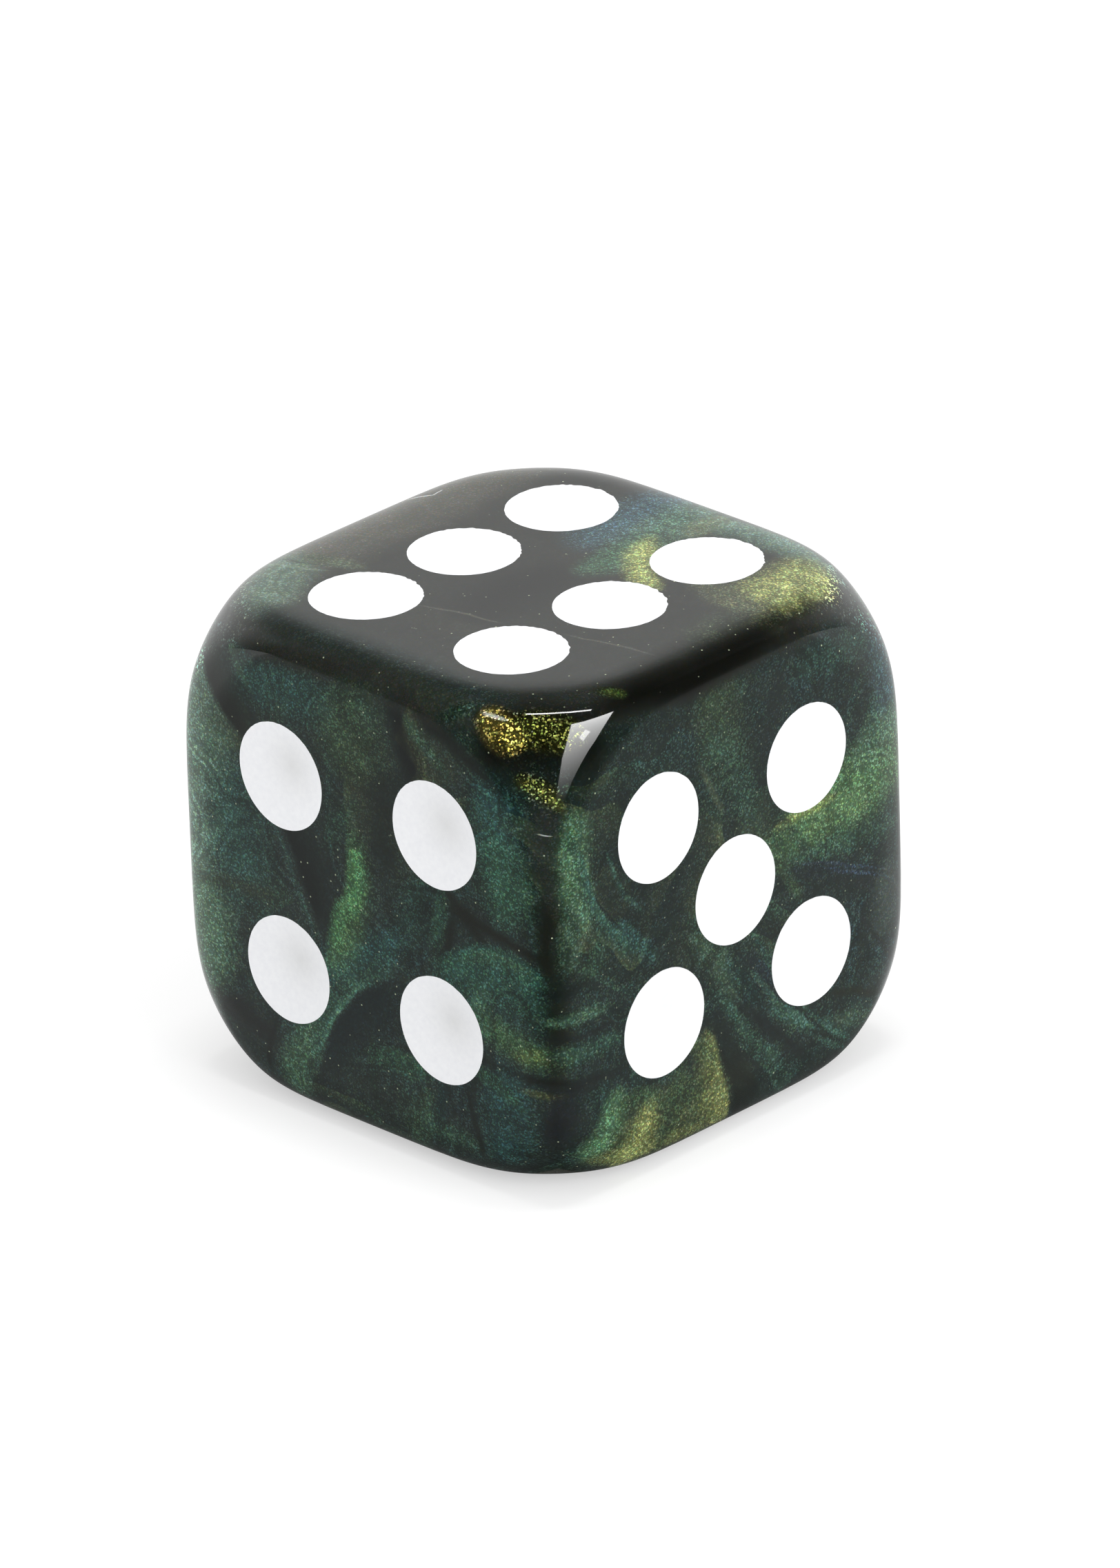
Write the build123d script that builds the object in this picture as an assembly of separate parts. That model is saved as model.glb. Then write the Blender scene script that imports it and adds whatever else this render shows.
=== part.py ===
"""Pipped six-sided gaming die: a solid cast resin body with twenty-one ball-drilled dimples, each holding its
own pool of paint.

Row frame: the die stands on its one-pip face, whose centre is the origin, with +Z up. Opposite faces add up
to seven. Four looks along -Y, five along +X and six along +Z, so one, two and three run anticlockwise round
the corner that they share, as on most Western dice.
"""
from build123d import *
from math import sqrt
import os

# Driving dimensions, in millimetres.
SIDE = 16.0                 # between two opposite faces
CORNER_RELIEF = 2.05        # taken off each sharp corner, along the cube's diagonal
EDGE_RADIUS = 1.2           # rolls every edge over, between two faces and round each ground-off corner
PIP_DIAMETER = 3.5          # at the face
PIP_OFFSET = 3.25           # corner pips of two to five, from the face's centre lines
SIX_COLUMN_OFFSET = 3.07    # six's two columns of three, from the face's centre line
SIX_PIP_PITCH = 4.27        # from pip to pip in a column of six
DIMPLE_DEPTH = 0.3          # at the middle of a drilled dimple
PAINT_SAG = 0.12            # how far the dried paint lies below the face in the middle of a pip

HALF_SIDE = SIDE / 2
PIP_RADIUS = PIP_DIAMETER / 2

# Each face's plane: its origin is the face's centre, its z points out of the die, and its y points up on the
# four side faces.
FACES = {
    1: Plane(origin=(0, 0, 0), x_dir=(1, 0, 0), z_dir=(0, 0, -1)),
    2: Plane(origin=(-HALF_SIDE, 0, HALF_SIDE), x_dir=(0, -1, 0), z_dir=(-1, 0, 0)),
    3: Plane(origin=(0, HALF_SIDE, HALF_SIDE), x_dir=(-1, 0, 0), z_dir=(0, 1, 0)),
    4: Plane(origin=(0, -HALF_SIDE, HALF_SIDE), x_dir=(1, 0, 0), z_dir=(0, -1, 0)),
    5: Plane(origin=(HALF_SIDE, 0, HALF_SIDE), x_dir=(0, 1, 0), z_dir=(1, 0, 0)),
    6: Plane(origin=(0, 0, SIDE), x_dir=(1, 0, 0), z_dir=(0, 0, 1)),
}

CENTRE = {"centre": (0, 0)}
RISING = {"lower_left": (-PIP_OFFSET, -PIP_OFFSET), "upper_right": (PIP_OFFSET, PIP_OFFSET)}
FALLING = {"lower_right": (PIP_OFFSET, -PIP_OFFSET), "upper_left": (-PIP_OFFSET, PIP_OFFSET)}
COLUMNS_OF_THREE = {
    f"{row}_{column}": (x, y)
    for column, x in (("left", -SIX_COLUMN_OFFSET), ("right", SIX_COLUMN_OFFSET))
    for row, y in (("lower", -SIX_PIP_PITCH), ("middle", 0), ("upper", SIX_PIP_PITCH))
}

# Where the pips of each number lie, in its face's plane.
PIP_LAYOUT = {
    1: CENTRE,
    2: RISING,
    3: RISING | CENTRE,
    4: RISING | FALLING,
    5: RISING | FALLING | CENTRE,
    6: COLUMNS_OF_THREE,
}


def moulded_blank():
    """The die before drilling: a cube whose corners are ground to a ball round its centre, with every edge
    that is left rolled over."""
    cube = Box(SIDE, SIDE, SIDE)
    corner_ball = Sphere(HALF_SIDE * sqrt(3) - CORNER_RELIEF)
    sharp_edged = cube & corner_ball
    return Pos(0, 0, HALF_SIDE) * fillet(sharp_edged.edges(), EDGE_RADIUS)


def ball_cap(depth):
    """The cap of a ball that hangs below a face at z = 0, as wide there as a pip and as deep as asked."""
    ball_radius = (PIP_RADIUS**2 + depth**2) / (2 * depth)
    poles_sideways = (90, 0, 0)
    ball = Pos(0, 0, ball_radius - depth) * Sphere(ball_radius, rotation=poles_sideways)
    return split(ball, bisect_by=Plane.XY, keep=Keep.BOTTOM)


def dimple():
    """What the ball-nosed drill takes out of a face that lies at z = 0."""
    return ball_cap(DIMPLE_DEPTH)


def paint_pool():
    """The paint in one dimple: it wets the whole dimple up to the rim and dries a little hollow."""
    return ball_cap(DIMPLE_DEPTH) - ball_cap(PAINT_SAG)


def pip_places():
    """Each pip's name and its place, with z pointing out of the die."""
    for number, spots in PIP_LAYOUT.items():
        for spot, (x, y) in spots.items():
            yield f"pip_{number}_{spot}", FACES[number].location * Pos(x, y, 0)


def drilled_body():
    dimples = [place * dimple() for _, place in pip_places()]
    return moulded_blank() - dimples


def pieces():
    """Every separate piece of the die by name."""
    made = {"die_body": drilled_body()}
    for name, place in pip_places():
        made[name] = place * paint_pool()
    return made


os.makedirs("parts", exist_ok=True)
for name, piece in pieces().items():
    export_step(piece, f"parts/{name}.step")
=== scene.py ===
"""Looks of a pipped six-sided gaming die: swirled pearl resin, tumbled corners, enamel in its dimples."""
import math
import random
from functools import partial

import bpy
from mathutils import Matrix, Vector, noise
from mathutils.geometry import delaunay_2d_cdt


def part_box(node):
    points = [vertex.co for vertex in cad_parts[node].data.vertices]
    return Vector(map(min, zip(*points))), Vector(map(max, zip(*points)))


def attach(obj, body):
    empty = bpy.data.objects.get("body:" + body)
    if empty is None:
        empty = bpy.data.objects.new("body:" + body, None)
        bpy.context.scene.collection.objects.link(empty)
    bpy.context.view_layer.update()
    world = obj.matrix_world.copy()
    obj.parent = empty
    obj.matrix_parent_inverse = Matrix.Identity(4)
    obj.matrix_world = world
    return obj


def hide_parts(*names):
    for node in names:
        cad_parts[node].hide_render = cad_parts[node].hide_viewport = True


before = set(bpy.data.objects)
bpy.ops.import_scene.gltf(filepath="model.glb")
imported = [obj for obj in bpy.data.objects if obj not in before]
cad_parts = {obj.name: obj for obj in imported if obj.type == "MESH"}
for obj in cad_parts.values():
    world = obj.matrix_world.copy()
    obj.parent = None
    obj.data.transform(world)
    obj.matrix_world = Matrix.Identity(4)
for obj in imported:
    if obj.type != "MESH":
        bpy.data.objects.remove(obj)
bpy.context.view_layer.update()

MM = 0.001

# ------------------------------
# Sizes, in metres, read from the frame where it holds them

BODY_LOW, BODY_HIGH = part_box("die_body")
SIDE = BODY_HIGH.z - BODY_LOW.z
CENTRE = (BODY_LOW + BODY_HIGH) / 2
EDGE_BLEND = 1.95 * MM          # how far from an edge the faces begin to melt into one another
CORNER_RELIEF = 1.9 * MM        # tumbled off each sharp corner
CORNER_BLEND = 1.2 * MM         # how far the tumbled corners melt into the rolled edges
DIMPLE_DEPTH = 0.3 * MM
PAINT_SAG = 0.12 * MM
RIM_CHIPPING = {6: 0.05 * MM}   # how far the drilled rims of face six are chipped
LIGHT_CHIPPING = 0.01 * MM      # and those of the other faces
RIM_WANDER = 0.012 * MM         # how far any rim wanders from its circle
PIP_SHADE_SPOT = Vector((0.45, 0.45)) * MM   # where the painted shade in each pip's bowl is greyest, from the pip's middle
PIP_SHADE_SPREAD = 1.5 * MM
PIP_SHADE_LEVEL = {1: 0.3, 2: 0.3, 3: 0.3, 4: 0.6, 5: 0.12, 6: 0.12}   # and how grey that painted shade is on each face, greyest on the dimmer face four
PIP_SEGMENTS = 180
PIP_RINGS = (0.16, 0.34, 0.52, 0.68, 0.82, 0.92, 0.97, 1.0)

# The directions of u and v on each numbered face
FACE_AXES = {
    1: ((1, 0, 0), (0, -1, 0)),
    2: ((0, -1, 0), (0, 0, 1)),
    3: ((-1, 0, 0), (0, 0, 1)),
    4: ((1, 0, 0), (0, 0, 1)),
    5: ((0, 1, 0), (0, 0, 1)),
    6: ((1, 0, 0), (0, 1, 0)),
}


def face_axes(number):
    """The u, v and outward directions of a numbered face."""
    u, v = (Vector(axis) for axis in FACE_AXES[number])
    return u, v, u.cross(v)


def pips_of(number):
    """The names of the pips on a face, each with its middle in the face's u and v, and its radius."""
    u, v, _ = face_axes(number)
    for name in sorted(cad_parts):
        if name.startswith(f"pip_{number}_"):
            low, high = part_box(name)
            middle = (low + high) / 2 - CENTRE
            width = max(high - low)
            yield name, Vector((middle.dot(u), middle.dot(v))), width / 2


# ------------------------------
# Node trees


def add(tree, kind, inputs=(), output=0, stops=(), **settings):
    """Adds a node with its settings and a ramp's stops, and sets or links its inputs. Gives back one output,
    or the node itself."""
    made = tree.nodes.new(kind)
    for name, value in settings.items():
        setattr(made, name, value)
    for _ in stops[2:]:
        made.color_ramp.elements.new(0.5)
    for number, (place, colour) in enumerate(stops):
        made.color_ramp.elements[number].position = place
        made.color_ramp.elements[number].color = colour
    for key, value in inputs.items() if isinstance(inputs, dict) else enumerate(inputs):
        if isinstance(value, bpy.types.NodeSocket):
            tree.links.new(value, made.inputs[key])
        else:
            made.inputs[key].default_value = value
    return made if output is None else made.outputs[output]


def geometry_tree(name, sizes):
    """A Geometry Nodes tree that takes a mesh and named sizes; what it is given, and its output node."""
    tree = bpy.data.node_groups.new(name, "GeometryNodeTree")
    tree.interface.new_socket("Geometry", in_out="INPUT", socket_type="NodeSocketGeometry")
    for size in sizes:
        tree.interface.new_socket(size, in_out="INPUT", socket_type="NodeSocketFloat")
    tree.interface.new_socket("Geometry", in_out="OUTPUT", socket_type="NodeSocketGeometry")
    given = add(tree, "NodeGroupInput", output=None)
    return tree, given.outputs, add(tree, "NodeGroupOutput", output=None)


def shaped(mesh, tree, sizes, name):
    """The plain mesh object that a tree makes of a mesh."""
    source = bpy.data.objects.new(name + ".source", mesh)
    bpy.context.scene.collection.objects.link(source)
    modifier = source.modifiers.new("shape", "NODES")
    modifier.node_group = tree
    for item in tree.interface.items_tree:
        if item.in_out == "INPUT" and item.name in sizes:
            modifier[item.identifier] = sizes[item.name]
    evaluated = source.evaluated_get(bpy.context.evaluated_depsgraph_get())
    result = bpy.data.meshes.new_from_object(evaluated)
    result.name = name
    source.modifiers.remove(modifier)
    bpy.data.objects.remove(source)
    made = bpy.data.objects.new(name, result)
    bpy.context.scene.collection.objects.link(made)
    return made


def way_in(tree, reach, pip_radius, depth):
    """The way in from a face to a ball-drilled cap, "reach" being the share of the way to its rim."""
    node = partial(add, tree, "ShaderNodeMath")
    radius_squared = node((pip_radius, pip_radius), operation="MULTIPLY")
    both_squared = node((depth, depth, radius_squared), operation="MULTIPLY_ADD")
    ball = node((both_squared, node((depth, 2.0), operation="MULTIPLY")), operation="DIVIDE")
    away = node((pip_radius, reach), operation="MULTIPLY")
    away_squared = node((away, away), operation="MULTIPLY")
    rise_squared = node((node((ball, ball), operation="MULTIPLY"), away_squared), operation="SUBTRACT")
    middle = node((ball, depth), operation="SUBTRACT")
    sink = node((node((rise_squared,), operation="SQRT"), middle), operation="SUBTRACT")
    deeper = node((sink, -1.0), operation="MULTIPLY")
    outward = add(tree, "GeometryNodeInputNormal")
    return add(tree, "ShaderNodeVectorMath", {0: outward, "Scale": deeper}, operation="SCALE")


def finish_tree(tree, shape, spent, material, result):
    """Drops the attributes that only the tree used, and gives its shape a material."""
    for name in spent:
        shape = add(tree, "GeometryNodeRemoveAttribute", {"Geometry": shape, "Name": name})
    whole = add(tree, "GeometryNodeRealizeInstances", {"Geometry": shape})
    finished = add(tree, "GeometryNodeSetMaterial", {"Geometry": whole, "Material": material})
    tree.links.new(finished, result.inputs["Geometry"])


def rolled_block_tree(material):
    """Rounds and drills a sharp cube. The tumbled die is what lies inside both a cube and a ball, with a
    soft blend where its faces and the ball meet, so that its shine has no seams. Each point of the sharp
    cube starts well inside and is moved out from the centre in ever smaller steps for as long as it stays
    inside; it sinks again where a pip is drilled."""
    tree, given, result = geometry_tree("Rolled and drilled block", (
        "Side", "Edge blend", "Corner relief", "Corner blend", "Pip radius", "Dimple depth"))
    node = partial(add, tree)
    half = node("ShaderNodeMath", (given["Side"], 0.5), operation="MULTIPLY")
    corner = node("ShaderNodeMath", (half, math.sqrt(3)), operation="MULTIPLY")
    ball = node("ShaderNodeMath", (corner, given["Corner relief"]), operation="SUBTRACT")
    position = node("GeometryNodeInputPosition")
    inside, reach = (node("GeometryNodeInputNamedAttribute", {"Name": name}, "Attribute")
                     for name in ("inside", "reach"))

    first_try, first_step, steps = 0.8, 0.1, 20
    start = node("GeometryNodeStoreNamedAttribute",
                 {"Geometry": given["Geometry"], "Name": "inside", "Value": first_try})
    search = node("GeometryNodeRepeatInput", {"Iterations": steps}, None)
    found = node("GeometryNodeRepeatOutput", output=None)
    search.pair_with_output(found)
    tree.links.new(start, search.inputs["Geometry"])
    halving = node("ShaderNodeMath", (0.5, search.outputs["Iteration"]), operation="POWER")
    further = node("ShaderNodeMath", (halving, first_step, inside), operation="MULTIPLY_ADD")
    tried = node("ShaderNodeVectorMath", {0: position, "Scale": further}, operation="SCALE")
    mirrored = node("ShaderNodeVectorMath", (tried,), operation="ABSOLUTE")
    x, y, z = node("ShaderNodeSeparateXYZ", (mirrored,), None).outputs
    widest = node("ShaderNodeMath", (x, y, given["Edge blend"]), operation="SMOOTH_MAX")
    widest = node("ShaderNodeMath", (widest, z, given["Edge blend"]), operation="SMOOTH_MAX")
    from_block = node("ShaderNodeMath", (widest, half), operation="SUBTRACT")
    from_centre = node("ShaderNodeVectorMath", (tried,), "Value", operation="LENGTH")
    from_ball = node("ShaderNodeMath", (from_centre, ball), operation="SUBTRACT")
    from_surface = node("ShaderNodeMath", (from_block, from_ball, given["Corner blend"]),
                        operation="SMOOTH_MAX")
    too_far = node("ShaderNodeMath", (from_surface, 0.0), operation="GREATER_THAN")
    closest = node("GeometryNodeSwitch", {"Switch": too_far, "False": further, "True": inside},
                   input_type="FLOAT")
    stepped = node("GeometryNodeStoreNamedAttribute",
                   {"Geometry": search.outputs["Geometry"], "Name": "inside", "Value": closest})
    tree.links.new(stepped, found.inputs["Geometry"])

    inward = way_in(tree, reach, given["Pip radius"], given["Dimple depth"])
    rounded = node("ShaderNodeVectorMath", {0: position, "Scale": inside}, operation="SCALE")
    surface = node("ShaderNodeVectorMath", (rounded, inward), operation="ADD")
    shape = node("GeometryNodeSetPosition", {"Geometry": found.outputs["Geometry"], "Position": surface})
    finish_tree(tree, shape, ("inside", "reach"), material, result)
    return tree


def paint_pool_tree(material):
    """Makes the pool of paint that fills one dimple from the flat disc of its rim: a hollow skin on top and
    the dimple's own shape below, joined at the rim."""
    tree, given, result = geometry_tree("Pool of paint", ("Pip radius", "Dimple depth", "Paint sag"))
    node = partial(add, tree)
    reach = node("GeometryNodeInputNamedAttribute", {"Name": "reach"}, "Attribute")
    skins = []
    for depth in ("Paint sag", "Dimple depth"):
        inward = way_in(tree, reach, given["Pip radius"], given[depth])
        skins.append(node("GeometryNodeSetPosition", {"Geometry": given["Geometry"], "Offset": inward}))
    top, bottom = skins
    flipped = node("GeometryNodeFlipFaces", {"Mesh": bottom})
    both = node("GeometryNodeJoinGeometry", {"Geometry": flipped}, None)
    tree.links.new(top, both.inputs["Geometry"])
    rim_gap = 0.0001 * MM
    closed = node("GeometryNodeMergeByDistance", {"Geometry": both.outputs[0], "Distance": rim_gap})
    finish_tree(tree, closed, ("reach",), material, result)
    return tree


# ------------------------------
# The flat pattern: six square faces with the pips' rims marked on them


def grid_lines():
    """Where the grid of a face runs: wide apart in its middle, close together where its rim is rounded."""
    wide, close = 0.8 * MM, 0.16 * MM
    wide_steps, close_steps, roll_steps = 4, 18, 20
    half = [wide * i for i in range(1, wide_steps + 1)]
    close_start = half[-1]
    half += [close_start + close * i for i in range(1, close_steps + 1)]
    roll_start = half[-1]
    half += [roll_start + (SIDE / 2 - roll_start) * i / roll_steps for i in range(1, roll_steps + 1)]
    return [-line for line in reversed(half)] + [0.0] + half


def rim_points(name, middle, radius, chipping):
    """The rings of a pip, from its middle to its rim, as rows of places in its face. The rim is chipped most
    on its upper side, where the drill came round."""
    seed = random.Random(name).uniform(0, 100)
    other_seed = seed + 50
    chips_across, waves_across = 11.0, 1.5
    lower_chips = 0.2
    hold_inside = 6
    rings = []
    for share in PIP_RINGS:
        ring = []
        for step in range(PIP_SEGMENTS):
            angle = 2 * math.pi * step / PIP_SEGMENTS
            way = Vector((math.cos(angle), math.sin(angle)))
            chip = noise.noise((*(way * chips_across), seed)) * (lower_chips + max(0, way.y))
            wander = noise.noise((*(way * waves_across), other_seed))
            rim = radius + (chipping * chip + RIM_WANDER * wander) * share**hold_inside
            ring.append(middle + way * rim * share)
        rings.append(ring)
    return rings


def ring_faces():
    """Triangles and quads of a disc of rings. Its middle is its first point, and the rings follow it."""
    count = PIP_SEGMENTS
    faces = [(0, 1 + i, 1 + (i + 1) % count) for i in range(count)]
    for row in range(len(PIP_RINGS) - 1):
        inner = 1 + row * count
        outer = inner + count
        faces += [(inner + i, outer + i, outer + (i + 1) % count, inner + (i + 1) % count)
                  for i in range(count)]
    return faces


def disc_mesh(name, number, middle, rings):
    """The flat disc inside a pip's rim, in its face. Each point knows its share of the way to the rim, and
    how grey the painted shade in the bowl is there."""
    u, v, out = face_axes(number)
    flat = [middle] + [place for ring in rings for place in ring]
    points = [CENTRE + out * SIDE / 2 + u * place.x + v * place.y for place in flat]
    mesh = bpy.data.meshes.new(name)
    mesh.from_pydata(points, [], ring_faces())
    shares = [0.0] + [share for share in PIP_RINGS for _ in range(PIP_SEGMENTS)]
    mesh.attributes.new("reach", "FLOAT", "POINT").data.foreach_set("value", shares)
    # Painted shade: a grey spot in the bowl of each pip, strongest on face four.
    spot = middle + PIP_SHADE_SPOT
    fading = 1.5
    near = [max(0, 1 - (place - spot).length / PIP_SHADE_SPREAD) for place in flat]
    painted_shade = [share**fading * PIP_SHADE_LEVEL[number] for share in near]
    mesh.attributes.new("painted_shade", "FLOAT", "POINT").data.foreach_set("value", painted_shade)
    return mesh


def block_mesh(rims):
    """The sharp cube round its own centre, with the rims in its faces."""
    lines = grid_lines()
    clearance = 0.12 * MM
    tolerance = 1e-6
    digits = 4
    index, points, shares, faces = {}, [], [], []

    def point(place, share):
        """The number of the point at a place, which the faces that meet there share."""
        key = tuple(round(c / MM, digits) for c in place)
        if key not in index:
            index[key] = len(points)
            points.append(place)
            shares.append(share)
        return index[key]

    for number in FACE_AXES:
        u, v, out = face_axes(number)
        flat, reach, borders = [], [], []
        inside_rims = [(middle, radius + clearance) for _, middle, radius, _ in rims[number]]
        for x in lines:
            for y in lines:
                place = Vector((x, y))
                if all((place - middle).length > keep_out for middle, keep_out in inside_rims):
                    flat.append(place)
                    reach.append(1.0)
        for _, middle, _, rings in rims[number]:
            flat.append(middle)
            reach.append(0.0)
            for share, ring in zip(PIP_RINGS, rings):
                start = len(flat)
                flat += ring
                reach += [share] * len(ring)
                borders += [(start + i, start + (i + 1) % len(ring)) for i in range(len(ring))]
        scaled = [place / MM for place in flat]
        made, _, triangles, sources, _, _ = delaunay_2d_cdt(scaled, borders, [], 0, tolerance)
        names = []
        for place, source in zip(made, sources):
            share = reach[source[0]] if source else 1.0
            names.append(point(out * SIDE / 2 + (u * place.x + v * place.y) * MM, share))
        faces += [tuple(names[i] for i in triangle) for triangle in triangles]
    mesh = bpy.data.meshes.new("block")
    mesh.from_pydata(points, [], faces)
    mesh.attributes.new("reach", "FLOAT", "POINT").data.foreach_set("value", shares)
    return mesh


# ------------------------------
# Materials


def linear(colour, alpha=1.0):
    """A linear colour from its sRGB hex value."""
    channels = [int(colour[i:i + 2], 16) / 255 for i in (1, 3, 5)]
    return (*(c / 12.92 if c <= 0.04045 else ((c + 0.055) / 1.055) ** 2.4 for c in channels), alpha)


def material(name):
    """A new material, its node tree and its Principled shader."""
    made = bpy.data.materials.new(name)
    made.use_nodes = True
    return made, made.node_tree, made.node_tree.nodes["Principled BSDF"]
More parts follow.
